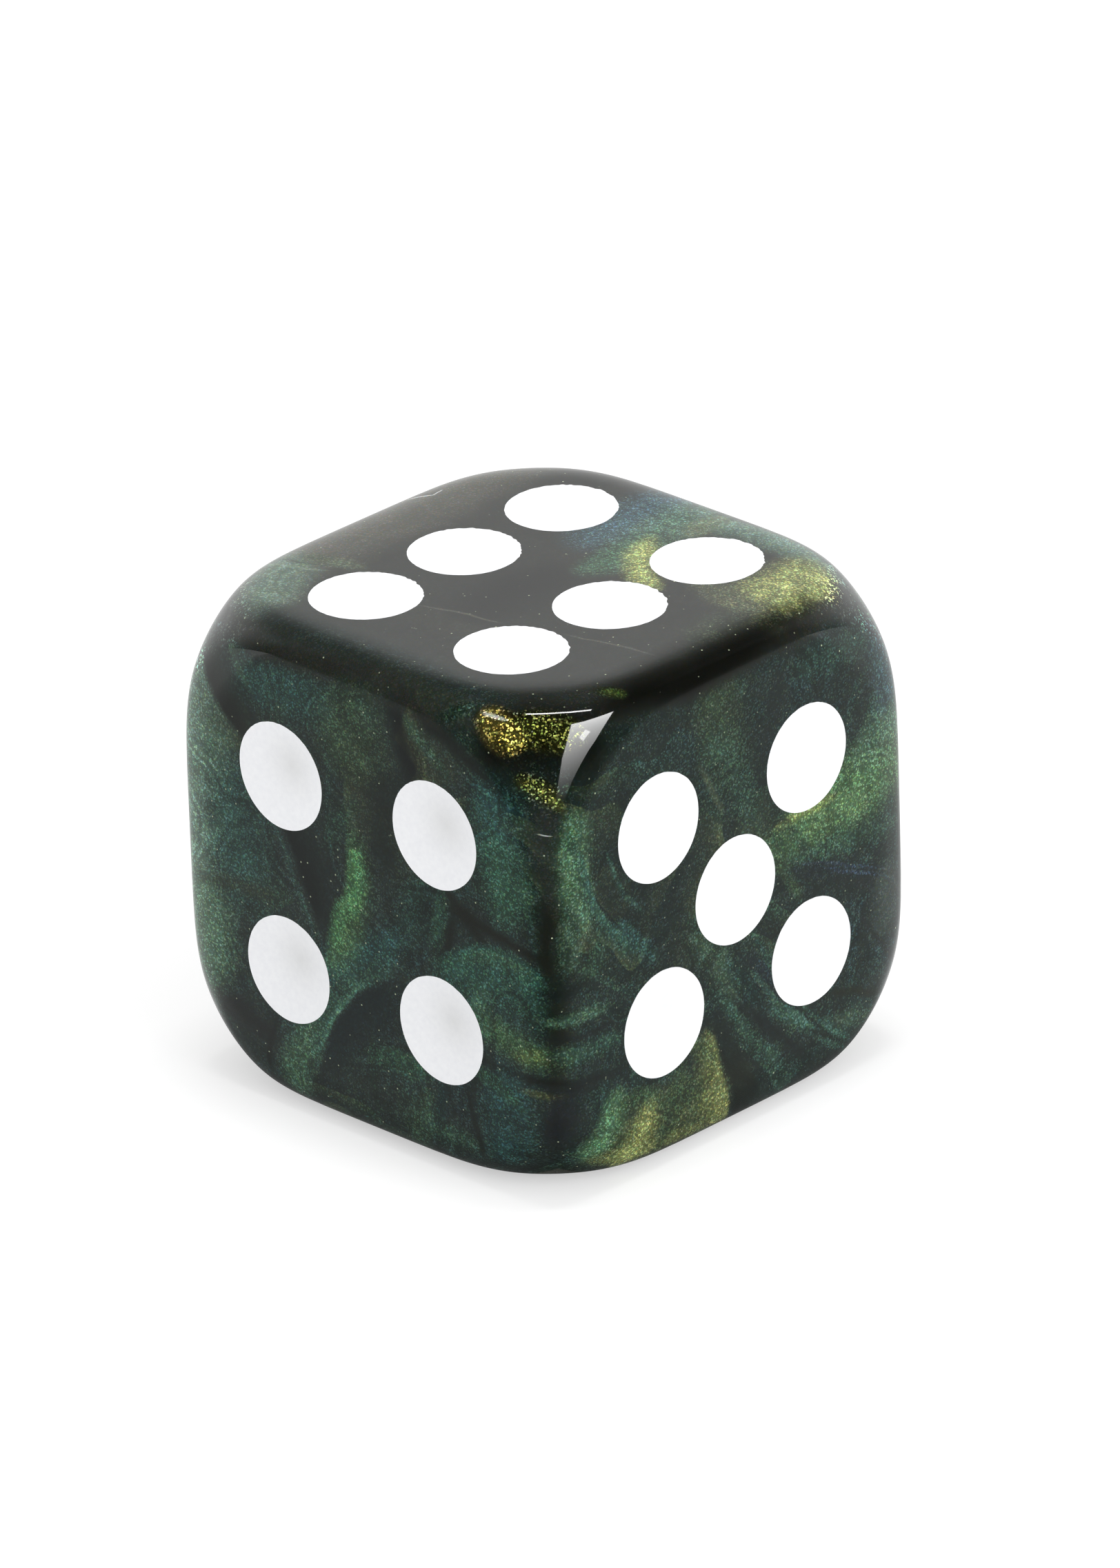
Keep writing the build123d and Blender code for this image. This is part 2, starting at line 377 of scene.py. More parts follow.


# The swirl where it is known, as sheets of mica pearl in the resin, laid one over another. The long dark
# rows along the rolled edges are painted reflection, not pearl: they darken the edges where the polish
# mirrors the dark of the room. Each row gives the middle of a sheet's leading edge in its face's u and v
# (mm), the edge's angle (degrees), the edge's length and how far behind it, on its left, the sheet has
# thinned out (mm), how far the edge's ends bend that way (mm), how soft the edge is (0 is knife sharp, 1
# makes a cloud), the tint, and its share.
INK, SOOT, UMBER, NIGHT = "#0a0b08", "#0e140e", "#10140d", "#0b1818"
TEAL, SEA, LEAF, BLUE, GOLD = "#203c36", "#2b4d41", "#3a5638", "#1f3c40", "#737c4c"
SHEETS = {
    4: (
        # Painted reflection: a dark band along the rolled front edge.
        (8.0, -1.0, 90, 16, 0.9, 0, 1, "#262e28", 0.8),
        (-7.3, 1.0, 90, 16, 2.8, 0, 1, "#577563", 0.95),
        (-5.2, 0.6, 90, 6, 2.2, 0, 1, "#25413a", 0.85),
        (-6.8, -3.0, 90, 5.0, 1.9, 0, 1, "#4a6650", 0.8),
        (-5.4, -1.0, 5, 4.2, 0.6, 0, 1, "#242c20", 0.75),
        (-2.6, 6.1, 3, 8.0, 1.5, 0, 1, TEAL, 0.9),
        (-0.2, 5.6, 80, 3.8, 2.4, 0, 1, "#2c3e2b", 0.85),
        (-0.7, 2.4, 60, 3.2, 0.7, 0, 1, "#20362a", 0.6),
        (1.0, 3.2, 90, 4.2, 1.5, 0, 1, "#101815", 0.75),
        (2.6, 0.6, 60, 4.6, 1.4, 0, 1, "#182c26", 0.8),
        (3.35, 0.6, 75, 2.8, 0.5, 0, 1, "#2a4a3a", 0.6),
        (-0.4, -2.0, 32, 6.4, 1.2, 0, 1, "#244440", 0.9),
        (-1.0, -2.4, 60, 2.0, 0.7, 0, 1, "#2f5048", 0.6),
        (-2.75, 0.3, -62, 5.2, 2.2, 0, 0.06, "#060e0b", 0.95),
        (-2.9, 0.15, 118, 4.4, 0.35, 0, 0.3, "#35524a", 0.45),
        (-0.8, -0.25, -106, 5.8, 1.6, -0.35, 0.12, "#41603f", 0.95),
        (-0.15, 0.6, 82, 2.8, 0.6, 0, 1, "#4d8353", 0.5),
        (-1.0, -0.95, 65, 2.4, 0.5, 0, 1, "#47774c", 0.5),
        (2.1, 5.9, 105, 3.6, 1.0, 0, 1, "#070c0a", 0.9),
        (6.0, 4.4, 95, 4.8, 1.7, 0, 1, "#244540", 0.95),
        (6.2, 2.75, 100, 3.8, 1.8, 0, 1, "#2f5140", 0.9),
        (7.7, 4.7, 90, 4.4, 0.7, 0, 0.9, "#1e211e", 0.85),
        (3.0, 6.1, -42, 2.8, 0.45, 0, 0.9, "#3a5644", 0.6),
        (5.8, 0.7, -10, 5.4, 0.45, 0, 0.9, UMBER, 0.95),
        (4.4, 0.9, -42, 2.6, 0.45, 0, 0.9, UMBER, 0.9),
        (3.6, -0.2, 75, 3.2, 0.42, 0, 0.9, SOOT, 0.85),
        (5.6, 0.3, 184, 6.8, 3.8, 1.4, 0.04, SEA, 0.95),
        (5.7, 0.1, 184, 5.6, 0.8, 1.1, 0.1, "#3a5742", 0.6),
        (6.8, -1.3, 150, 3.0, 1.0, 0, 1, "#1a3128", 0.75),
        (6.1, -2.75, -12, 5.0, 0.9, 0, 1, LEAF, 0.7),
        (5.0, -2.0, 90, 2.2, 0.7, 0, 1, "#3c5c4a", 0.6),
        (7.4, -2.95, 5, 3.0, 0.45, 0, 1, "#50603a", 0.7),
        (6.9, -3.72, 0, 5.6, 0.3, 0, 0.9, "#0c110c", 0.95),
        (7.2, -4.15, 4, 3.2, 0.22, 0, 1, "#454a2c", 0.6),
        (5.8, -5.4, 78, 4.6, 1.7, 0, 1, "#1f3c39", 0.9),
        (5.3, -4.4, -22, 3.0, 0.5, 0, 1, "#2c4c3a", 0.75),
        (7.5, -5.6, 75, 3.4, 0.7, 0, 1, "#222523", 0.7),
        (-0.95, -3.8, 232, 7.8, 2.6, 1.45, 0.03, NIGHT, 0.92),
        (-0.95, -3.8, 52, 7.6, 1.6, -1.35, 0.06, "#2a4639", 0.85),
        (-0.98, -3.76, 52, 6.8, 0.3, -1.05, 0.2, "#48705e", 0.55),
        (1.5, -4.9, 10, 3.6, 0.7, 0, 1, "#2a4636", 0.85),
        (0.4, -5.6, 95, 3.0, 0.35, 0, 1, "#16281c", 0.6),
        (2.3, -6.4, 75, 2.8, 0.8, 0, 1, "#2e4534", 0.8),
        (3.1, -5.8, 85, 2.0, 0.45, 0, 1, "#0a1e1c", 0.7),
        (3.4, -6.7, 0, 2.6, 0.7, 0, 1, "#2a4234", 0.7),
        (4.45, -6.0, 101, 3.2, 0.26, 0, 0.9, SOOT, 0.85),
        (-2.8, -6.0, 72, 4.0, 1.0, 0, 1, "#385340", 0.95),
        (-4.05, -6.1, 82, 3.0, 0.32, 0, 0.9, SOOT, 0.85),
        (-5.2, -5.4, -12, 4.0, 1.1, 0, 1, "#151816", 0.85),
        (-6.1, 5.2, -47, 5.6, 2.6, 0, 0.04, "#0a0f0a", 0.97),
        (-4.9, 6.5, -45, 2.0, 0.3, 0, 1, "#35503f", 0.6),
        # Painted reflection: a dark band along the rolled top edge.
        (-2.2, 7.35, 5, 9, 0.5, 0, 0.9, SOOT, 0.9),
        (3.9, 6.6, -25, 5.8, 0.62, 0, 0.9, "#0b120d", 0.95),
        (6.4, 6.5, 3, 3.0, 0.4, 0, 1, "#2a3022", 0.6),
        (-1.5, 8.05, 0, 9, 0.35, 0, 1, "#2a3c2c", 0.7),
        (3.4, 7.7, -8, 5.0, 0.6, 0, 1, "#22382a", 0.8),
        # Painted reflection: a dark band along the rolled front edge.
        (7.75, 0.4, 90, 13, 0.5, 0, 1, "#12140e", 0.85),
    ),
    5: (
        (-0.4, 5.7, 95, 5.4, 1.9, 0, 1, "#2e3d2c", 0.85),
        (1.9, 5.3, 80, 3.4, 0.9, 0, 1, "#1b2321", 0.8),
        (4.6, 6.2, 0, 5.0, 1.1, 0, 1, "#21372e", 0.85),
        (7.1, 4.8, 95, 5.0, 1.5, 0, 1, "#2c4446", 0.9),
        (0.0, 3.7, -60, 5.4, 1.3, 0, 1, "#2a3f34", 0.75),
        (-1.0, 3.7, -62, 2.6, 0.25, 0, 0.8, "#434d3c", 0.6),
        (5.6, 1.5, 10, 9.6, 2.0, 0, 1, "#4b6a47", 0.95),
        (6.8, 2.8, 20, 3.8, 1.3, 0, 1, "#48644f", 0.8),
        (4.6, 1.0, 0, 4.0, 0.9, 0, 1, "#546f4a", 0.4),
        (3.2, 1.55, 2, 3.2, 0.35, 0.2, 1, "#747f46", 0.6),
        (5.0, -0.1, -3, 6.0, 0.7, 0, 1, "#2d4638", 0.7),
        (2.0, 0.2, -60, 4.2, 0.5, 0, 1, "#3a4f37", 0.75),
        (2.9, 0.6, -58, 3.6, 0.28, 0, 0.9, "#22332a", 0.7),
        (-6.7, 3.0, 95, 4.8, 1.3, 0, 1, "#4f6e53", 0.95),
        (-7.1, 1.0, 80, 2.8, 0.8, 0, 1, "#34493a", 0.85),
        (-6.1, 0.0, 60, 2.6, 0.8, 0, 1, "#2d4434", 0.75),
        (-7.2, -0.8, 0, 2.8, 0.5, 0, 1, "#121a17", 0.85),
        (-4.5, 1.5, -60, 7.0, 1.4, 0, 1, "#1a2622", 0.85),
        (-5.85, 1.6, 121, 9.0, 0.9, -1.7, 0.2, "#2b4439", 0.8),
        (-5.85, 1.6, 121, 8.4, 0.35, -1.6, 0.3, "#3a5b4e", 0.85),
        (-5.65, 1.7, -59, 8.0, 1.0, 1.5, 0.2, "#19231f", 0.75),
        (-3.1, 1.0, -60, 5.0, 1.1, 0, 1, "#182320", 0.75),
        (-4.85, 2.0, 121, 6.4, 0.22, -1.1, 0.5, "#2f4a40", 0.6),
        (-4.3, 0.0, -48, 3.0, 0.5, 0, 1, "#2b4741", 0.85),
        (-0.8, -2.2, -58, 4.2, 0.9, 0, 1, "#35493a", 0.85),
        (0.2, -3.2, -55, 3.4, 0.6, 0, 1, "#152a26", 0.75),
        (4.4, -0.95, -20, 6.0, 0.6, 0, 1, "#1a2424", 0.9),
        (4.6, -0.75, -22, 4.6, 0.12, 0, 0.9, "#2a3740", 0.75),
        (5.4, -1.3, -23, 4.6, 0.14, 0, 0.9, "#28343f", 0.75),
        (5.8, -1.9, -24, 4.6, 0.5, 0, 1, "#1c2320", 0.8),
        (6.6, -2.8, 80, 3.6, 1.3, 0, 1, "#39443f", 0.8),
        (6.2, -4.0, -50, 4.0, 0.2, 0, 0.9, "#1d211f", 0.6),
        (-6.9, -1.8, -4, 3.8, 0.4, 0, 0.8, "#3d5745", 0.85),
        (-6.6, -3.0, -8, 3.8, 0.6, 0, 0.9, "#2d473b", 0.85),
        (-6.7, -2.4, -5, 3.8, 0.2, 0, 0.9, "#141a18", 0.75),
        (-6.8, -4.0, -5, 4.4, 0.4, 0, 0.9, "#131917", 0.85),
        (-5.9, -4.9, 80, 1.8, 0.7, 0, 1, "#1b3029", 0.6),
        (1.4, -3.6, -50, 4.0, 0.6, 0, 0.8, "#1b262a", 0.75),
        (1.2, -2.7, -60, 3.6, 0.28, 0, 0.8, "#2d463c", 0.7),
        (0.5, -5.1, -54, 6.4, 0.55, 0, 0.8, "#2c4538", 0.85),
        (-0.5, -5.4, -56, 5.0, 0.5, 0, 0.9, "#0f1712", 0.92),
        (1.6, -5.5, -48, 5.0, 0.5, 0, 0.9, "#131b19", 0.9),
        (3.2, -5.8, -38, 5.6, 0.7, 0, 0.7, "#345245", 0.97),
        (1.9, -4.6, -50, 5.4, 0.24, 0, 0.8, "#334d41", 0.7),
        (2.7, -5.1, -46, 5.4, 0.22, 0, 0.8, "#111815", 0.85),
        (0.9, -6.2, -52, 4.0, 0.24, 0, 0.8, "#2e473b", 0.7),
        (4.2, -6.6, -32, 4.4, 0.26, 0, 0.8, "#131a16", 0.85),
        (5.0, -5.3, -25, 3.4, 0.3, 0, 0.9, "#1a1f15", 0.85),
        (5.2, -6.3, -22, 2.8, 0.6, 0, 1, "#364a3c", 0.75),
        (-3.2, -6.4, 3, 8.0, 1.7, 0, 1, "#424d32", 0.95),
        (-5.8, -6.0, 62, 3.4, 0.9, 0, 1, "#4a6c4e", 0.9),
        (-3.8, -7.3, -3, 7.0, 0.7, 0, 1, "#656d42", 0.85),
        (-4.5, -6.8, 65, 3.0, 0.8, 0, 1, "#7f8752", 0.9),
        (-3.1, -6.3, 72, 3.8, 0.75, 0, 1, "#2f3f2b", 0.85),
        (-0.68, -6.2, 105, 4.8, 1.7, 0, 0.08, GOLD, 0.95),
        (-1.7, -4.9, -35, 2.6, 0.6, 0, 1, "#3b4930", 0.85),
        (-1.5, -6.0, 60, 1.8, 0.3, 0, 1, "#47532f", 0.6),
        (-2.7, -5.9, 0, 2.8, 0.8, 0, 1, "#2b3b27", 0.85),
        (-4.7, -5.4, 0, 2.6, 0.6, 0, 1, "#33482f", 0.7),
        (-0.45, -6.4, -75, 4.4, 1.9, 0, 0.08, "#0f1610", 0.9),
        (-1.0, -4.8, -52, 3.4, 1.0, 0, 0.1, "#17221d", 0.85),
        # Painted reflection, this row and the next two: dark bands along the rolled front and top edges.
        (-7.4, -5.7, 80, 4.6, 1.3, 0, 1, "#15191b", 0.95),
        (-7.7, 4.4, 90, 5.6, 0.6, 0, 1, "#262c29", 0.7),
        (-0.5, 7.6, 0, 15, 0.7, 0, 1, INK, 0.95),
        (4.6, 7.7, -5, 4.4, 0.7, 0, 1, "#223626", 0.8),
    ),
    6: (
        (0.0, 0.0, 0, 80, 40, 0, 1, "#282925", 0.9),
        (0.3, -1.2, 90, 6, 2.4, 0, 1, "#131513", 0.75),
        (-6.7, 1.5, 90, 18, 2.8, 0, 1, "#57574f", 0.9),
        (-0.8, 5.6, 93, 8.0, 2.0, 0, 1, "#3a575e", 0.85),
        (0.6, 5.2, 97, 8.4, 1.7, 0, 1, "#4c6a58", 0.8),
        (0.8, 2.9, 90, 4.6, 1.2, 0, 1, "#385741", 0.85),
        (1.7, 2.8, 135, 6.4, 1.0, -2.3, 0.6, "#959f60", 0.95),
        (3.4, 6.6, 0, 9, 1.1, 0, 1, "#607a6c", 0.92),
        (1.3, 6.2, 90, 2.2, 0.8, 0, 1, "#6b775c", 0.7),
        (6.1, 4.5, 100, 5.2, 1.9, 0, 1, "#8f985c", 0.92),
        (6.6, 5.2, 110, 2.8, 1.0, 0, 1, "#939b62", 0.6),
        (5.9, 2.6, -10, 5.0, 1.1, 0, 1, "#454b37", 0.9),
        (6.5, 1.0, 90, 3.4, 1.1, 0, 1, "#2c3626", 0.7),
        (-6.0, -5.2, 120, 5.6, 1.8, 0, 1, "#5e7364", 0.95),
        (-5.6, -3.1, 10, 3.0, 0.6, 0, 1, "#4a5543", 0.85),
        (0.0, -4.3, 0, 9, 1.0, 0, 1, "#2d2f28", 0.6),
        (-6.7, -4.3, 24, 3.6, 0.14, 0, 0.8, "#75897a", 0.6),
        (-6.3, -3.7, 22, 3.4, 0.12, 0, 0.8, "#38443a", 0.6),
        (-6.9, -1.6, 28, 2.6, 0.1, 0, 0.8, "#6c7266", 0.5),
        (0.2, -3.42, 14, 3.4, 0.1, 0, 0.8, "#55564c", 0.6),
        (5.0, -2.1, 14, 3.8, 0.1, 0, 0.8, "#55564c", 0.6),
        # Painted reflection, this row and the next: dark bands along the rolled edges to faces four and
        # five.
        (0.0, -6.9, 0, 15, 1.0, 0, 1, "#222c29", 0.85),
        (7.95, -1.5, 90, 14, 1.4, 0, 1, INK, 0.97),
        (-6.98, 2.0, 54, 1.1, 0.055, 0, 1, "#dde3e0", 1.0),
        (-6.8, 2.6, 102, 0.8, 0.05, 0, 1, "#c4cbc7", 0.9),
    ),
    "corner": (
        (0.0, -0.1, 0, 7.0, 2.5, 0, 1, INK, 1.0),
        (0.05, 0.4, -8, 2.9, 0.9, 0, 1, "#43471f", 0.95),
        (-1.2, 0.55, -48, 2.3, 0.8, 0, 1, "#7a7136", 1.0),
        (-0.1, -1.42, -35, 1.9, 0.45, 0, 1, "#454a24", 0.95),
        (-2.7, 1.25, 20, 2.6, 0.6, 0, 1, "#20352a", 0.8),
        (2.2, 1.65, -10, 1.5, 0.35, 0, 1, "#3a4a20", 0.75),
        (-1.4, 1.0, -25, 1.0, 0.14, 0, 1, "#c9cfc8", 0.6),
        (-0.1, -2.5, -14, 0.55, 0.035, 0, 1, "#a0a6a6", 1.0),
    ),
}


def swirl_axes(place):
    """The u, v and outward directions of a face, or of the tumbled corner where four, five and six meet, and
    how far out from the centre it lies, in millimetres."""
    if place == "corner":
        out = Vector((1, -1, 1)).normalized()
        u = Vector((1, 1, 0)).normalized()
        return u, out.cross(u), out, (SIDE / 2 * math.sqrt(3) - CORNER_RELIEF) / MM
    return *face_axes(place), SIDE / 2 / MM


def sheet_of_pearl():
    """One sheet of mica pearl over a colour: it starts at its leading edge and thins out behind it. Laying
    it pushes the resin along a little, so the sheets after it are pushed out of line where they cross it."""
    tree = bpy.data.node_groups.new("sheet of pearl", "ShaderNodeTree")
    for name, kind in (("Below", "Color"), ("Place", "Vector"), ("Middle", "Vector"), ("Turn", "Vector"),
                       ("Size", "Vector"), ("Bend", "Float"), ("Softness", "Float"), ("Tint", "Color"),
                       ("Share", "Float")):
        tree.interface.new_socket(name, in_out="INPUT", socket_type="NodeSocket" + kind)
    tree.interface.new_socket("Colour", in_out="OUTPUT", socket_type="NodeSocketColor")
    tree.interface.new_socket("Place", in_out="OUTPUT", socket_type="NodeSocketVector")
    node = partial(add, tree)
    given = node("NodeGroupInput", output=None).outputs
    result = node("NodeGroupOutput", output=None)
    thickest, thin_ends, push = 0.08, 0.15, (0.03, -0.03, 0.03)
    local = node("ShaderNodeMapping", {
        "Vector": given["Place"], "Location": given["Middle"], "Rotation": given["Turn"],
        "Scale": given["Size"]}, vector_type="TEXTURE")
    along, behind, deep = node("ShaderNodeSeparateXYZ", (local,), None).outputs
    along_squared = node("ShaderNodeMath", (along, along), operation="MULTIPLY")
    away = node("ShaderNodeMath", (behind, behind, along_squared), operation="MULTIPLY_ADD")
    away = node("ShaderNodeMath", (deep, deep, away), operation="MULTIPLY_ADD")
    bent = node("ShaderNodeMath", (along_squared, given["Bend"]), operation="MULTIPLY")
    behind = node("ShaderNodeMath", (behind, bent), operation="SUBTRACT")
    start = node("ShaderNodeMath", (given["Softness"], -1.0), operation="MULTIPLY")
    rise = node("ShaderNodeMapRange", {"Value": behind, "From Min": start, "From Max": thickest},
                interpolation_type="SMOOTHSTEP")
    fade = node("ShaderNodeMapRange", {"Value": behind, "From Min": 1.0, "From Max": thickest},
                interpolation_type="SMOOTHSTEP")
    ends = node("ShaderNodeMapRange", {"Value": away, "From Min": 1.0, "From Max": thin_ends},
                interpolation_type="SMOOTHSTEP")
    thick = node("ShaderNodeMath", (rise, fade), operation="MULTIPLY")
    thick = node("ShaderNodeMath", (thick, ends), operation="MULTIPLY")
    share = node("ShaderNodeMath", (thick, given["Share"]), operation="MULTIPLY")
    mixed = node("ShaderNodeMix", {"Factor": share, "A": given["Below"], "B": given["Tint"]}, "Result",
                 data_type="RGBA")
    tree.links.new(mixed, result.inputs["Colour"])
    pushed = node("ShaderNodeVectorMath", (share, push, given["Place"]), operation="MULTIPLY_ADD")
    tree.links.new(pushed, result.inputs["Place"])
    return tree


def shifted(tree, place, grain, amount, seed):
    """A place, in millimetres, moved about by a smooth noise of a grain and an amount in millimetres."""
    node = partial(add, tree)
    elsewhere = node("ShaderNodeVectorMath", (place, (seed, seed, seed)), operation="ADD")
    cloud = node("ShaderNodeTexNoise", {"Vector": elsewhere, "Scale": 1 / grain, "Detail": 1.0}, "Color")
    way = node("ShaderNodeVectorMath", (cloud, (0.5, 0.5, 0.5)), operation="SUBTRACT")
    return node("ShaderNodeVectorMath", (way, (amount, amount, amount), place), operation="MULTIPLY_ADD")


def folded_pearl(tree, stirred):
    """The resin far from the sheets. Stirring folds its pearl over and over, so the pearl's thickness climbs
    softly and drops sharply, but most of it lies too deep to show."""
    node = partial(add, tree)
    fold_width, fold_count, tint_width = 7.5, 11.0, 6.0
    folds = node("ShaderNodeTexNoise", {"Vector": stirred, "Scale": 1 / fold_width, "Detail": 0.0})
    folds = node("ShaderNodeMath", (folds, fold_count), operation="MULTIPLY")
    layer = node("ShaderNodeMath", (folds,), operation="FRACT")
    tint = node("ShaderNodeTexNoise", {"Vector": stirred, "Scale": 1 / tint_width, "Detail": 1.0})
    tints = ((0.3, BLUE), (0.42, TEAL), (0.5, SEA), (0.58, LEAF), (0.66, GOLD))
    pearl = node("ShaderNodeValToRGB", (tint,), stops=[(at, linear(colour)) for at, colour in tints])
    thickness = node("ShaderNodeFloatCurve", {"Value": layer})
    curve = thickness.node.mapping.curves[0]
    curve.points[1].location = (1.0, 0.0)
    for at, height in ((0.04, 0.9), (0.35, 0.45), (0.8, 0.05)):
        curve.points.new(at, height)
    colour = node("ShaderNodeMix", {"Factor": thickness, "A": linear(SOOT), "B": pearl}, "Result",
                  data_type="RGBA")
    too_deep = 0.8
    return node("ShaderNodeMix", {"Factor": too_deep, "A": colour, "B": linear("#1f2b27")}, "Result",
                data_type="RGBA")


def stir_on_both_sides(tree, place):
    """Where each place finds its sheets, which are laid on faces four, five and six. Faces two, three and
    one show the same stir, turned half round, and where the two meet the resin is plain."""
    node = partial(add, tree)
    slowly = shifted(tree, place, grain=2.4, amount=0.7, seed=7.0)
    curled = shifted(tree, slowly, grain=0.4, amount=0.08, seed=3.0)
    x, y, z = node("ShaderNodeSeparateXYZ", (place,), None).outputs
    toward = node("ShaderNodeMath", (y, -1.0), operation="MULTIPLY")
    nearest, farthest = (
        node("ShaderNodeMath", (node("ShaderNodeMath", (x, z), operation=which), toward), operation=which)
        for which in ("MAXIMUM", "MINIMUM"))
    back_end, front_start = 3.0, 3.4
    front = node("ShaderNodeMath", (farthest, 0.5, nearest), operation="MULTIPLY_ADD")
    front = node("ShaderNodeMapRange", {"Value": front, "From Min": back_end, "From Max": front_start})
    x, y, z = node("ShaderNodeSeparateXYZ", (curled,), None).outputs
    turned = node("ShaderNodeCombineXYZ", (y, x, node("ShaderNodeMath", (z, -1.0), operation="MULTIPLY")))
    return node("ShaderNodeMix", {"Factor": front, "A": turned, "B": curled}, "Result", data_type="VECTOR")


def laid_sheets(tree, colour, curled):
    """Lays the known sheets one after another. Each takes the colour and the pushed place from the last."""
    sheet = sheet_of_pearl()
    depth = 1.3
    for side, rows in SHEETS.items():
        u, v, out, distance = swirl_axes(side)
        for across, up, angle, length, thinning, bend, softness, tint, share in rows:
            turn = math.radians(angle)
            along = u * math.cos(turn) + v * math.sin(turn)
            behind = v * math.cos(turn) - u * math.sin(turn)
            laid = add(tree, "ShaderNodeGroup", {
                "Below": colour, "Place": curled, "Middle": u * across + v * up + out * distance,
                "Turn": Matrix((along, behind, out)).transposed().to_euler(),
                "Size": (length / 2, thinning, depth), "Bend": bend / thinning, "Softness": softness,
                "Tint": linear(tint), "Share": share,
            }, None, node_tree=sheet)
            colour, curled = laid.outputs
    return colour, curled


def mica_grains(tree, place, colour, uneven):
    """Mica grains of about 0.05 mm: each has its own slant, and so its own brightness and a little of its
    own colour. Where the surface leans towards the lamp, on the tumbled corners, a few grains flash and the
    rest stay dark. The mica is what colours the resin, so where it is grey or black there are hardly any."""
    node = partial(add, tree)
    grain = 0.05
    grains = node("ShaderNodeTexVoronoi", {"Vector": place, "Scale": 1 / grain}, "Color")
    chance, warmth, coolness = node("ShaderNodeSeparateColor", (grains,), None).outputs
    even, flashing = (
        node("ShaderNodeMath", (node("ShaderNodeMath", (chance, rarity), operation="POWER"), most, least),
             operation="MULTIPLY_ADD")
        for rarity, most, least in ((4.0, 2.1, 0.58), (9.0, 14.0, 0.2)))
    normal = node("ShaderNodeNewGeometry", output="Normal")
    facing = node("ShaderNodeVectorMath", (normal,), operation="ABSOLUTE")
    to_corner = node("ShaderNodeVectorMath", (facing, (3 ** -0.5,) * 3), "Value", operation="DOT_PRODUCT")
    rolled_edge, corner = 0.87, 0.95
    flash = node("ShaderNodeMapRange", {"Value": to_corner, "From Min": rolled_edge, "From Max": corner})
    up = node("ShaderNodeSeparateXYZ", (normal,), "Z")
    upward = node("ShaderNodeMapRange", {"Value": up, "From Min": 0.1, "From Max": 0.4})
    flash = node("ShaderNodeMath", (flash, upward), operation="MULTIPLY")
    bright = node("ShaderNodeMix", {"Factor": flash, "A": even, "B": flashing}, data_type="FLOAT")
    bright = node("ShaderNodeMath", (bright, uneven), operation="MULTIPLY")
    _, saturation, value = node("ShaderNodeSeparateColor", (colour,), None, mode="HSV").outputs
    coloured = node("ShaderNodeMapRange", {"Value": saturation, "From Min": 0.2, "From Max": 0.5,
                                           "To Min": 0.25})
    light = node("ShaderNodeMapRange", {"Value": value, "From Min": 0.005, "From Max": 0.025, "To Min": 0.2})
    mica = node("ShaderNodeMath", (coloured, light), operation="MULTIPLY")
    bright = node("ShaderNodeMix", {"Factor": mica, "A": 1.0, "B": bright}, data_type="FLOAT")
    warm = node("ShaderNodeMapRange", {"Value": warmth, "To Min": 0.75, "To Max": 1.25})
    cool = node("ShaderNodeMapRange", {"Value": coolness, "To Min": 0.7, "To Max": 1.3})
    hue = node("ShaderNodeCombineXYZ", (warm, 1.0, cool))
    lit = node("ShaderNodeVectorMath", {0: hue, "Scale": bright}, operation="SCALE")
    return node("ShaderNodeMix", {"Factor": 1.0, "A": colour, "B": lit}, "Result", data_type="RGBA",
                blend_type="MULTIPLY")


def lone_flakes(tree, place, colour):
    """Here and there a larger flake lies flat and shines alone, some more than others."""
    node = partial(add, tree)
    flake, share = 0.07, 0.008
    flakes = node("ShaderNodeTexVoronoi", {"Vector": place, "Scale": 1 / flake}, None).outputs
    odd, shine, _ = node("ShaderNodeSeparateColor", (flakes["Color"],), None).outputs
    odd = node("ShaderNodeMath", (odd, share), operation="LESS_THAN")
    core = node("ShaderNodeMapRange", {"Value": flakes["Distance"], "From Min": 0.5, "From Max": 0.2,
                                       "To Max": shine})
    alone = node("ShaderNodeMath", (odd, core), operation="MULTIPLY")
    return node("ShaderNodeMix", {"Factor": alone, "A": colour, "B": linear("#b4bfa0")}, "Result",
                data_type="RGBA")


def swirled_resin():
    """Black polyester resin with mica pearl stirred into it, cast, then tumbled until it shines: deep and
    dark where there is no mica, and with soft sheets of teal, green and gold grains that start at a sharp
    fold."""
    made, tree, shader = material("cast polyester resin, pearl swirl, tumble polished")
    shader.inputs["IOR"].default_value = 1.5
    shader.inputs["Roughness"].default_value = 0.04
    node = partial(add, tree)
    coordinates = node("ShaderNodeTexCoord", output="Object")
    middle = tuple(-c / MM for c in CENTRE)
    place = node("ShaderNodeVectorMath", (coordinates, (1 / MM,) * 3, middle), operation="MULTIPLY_ADD")
    slowly = shifted(tree, place, grain=5.0, amount=5.0, seed=21.0)
    stirred = shifted(tree, slowly, grain=1.8, amount=1.1, seed=40.0)
    colour = folded_pearl(tree, stirred)
    colour, curled = laid_sheets(tree, colour, stir_on_both_sides(tree, place))

    # Within a sheet the grains lie in fine streaks along the flow, and in clumps
    flow_width, streak_count, clump = 4.0, 30.0, 0.7
    drawn = node("ShaderNodeTexNoise", {"Vector": stirred, "Scale": 1 / flow_width, "Detail": 0.0})
    streaks = node("ShaderNodeTexNoise", {"W": drawn, "Scale": streak_count, "Detail": 1.0},
                   noise_dimensions="1D")
    clumps = node("ShaderNodeTexNoise", {"Vector": curled, "Scale": 1 / clump, "Detail": 2.0})
    uneven = node("ShaderNodeMath", (streaks, 0.6, clumps), operation="MULTIPLY_ADD")
    uneven = node("ShaderNodeMapRange", {"Value": uneven, "From Min": 0.6, "From Max": 1.0, "To Min": 0.65,
                                         "To Max": 1.35})
    colour = mica_grains(tree, place, colour, uneven)
    colour = lone_flakes(tree, place, colour)
    tree.links.new(colour, shader.inputs["Base Color"])
    return made


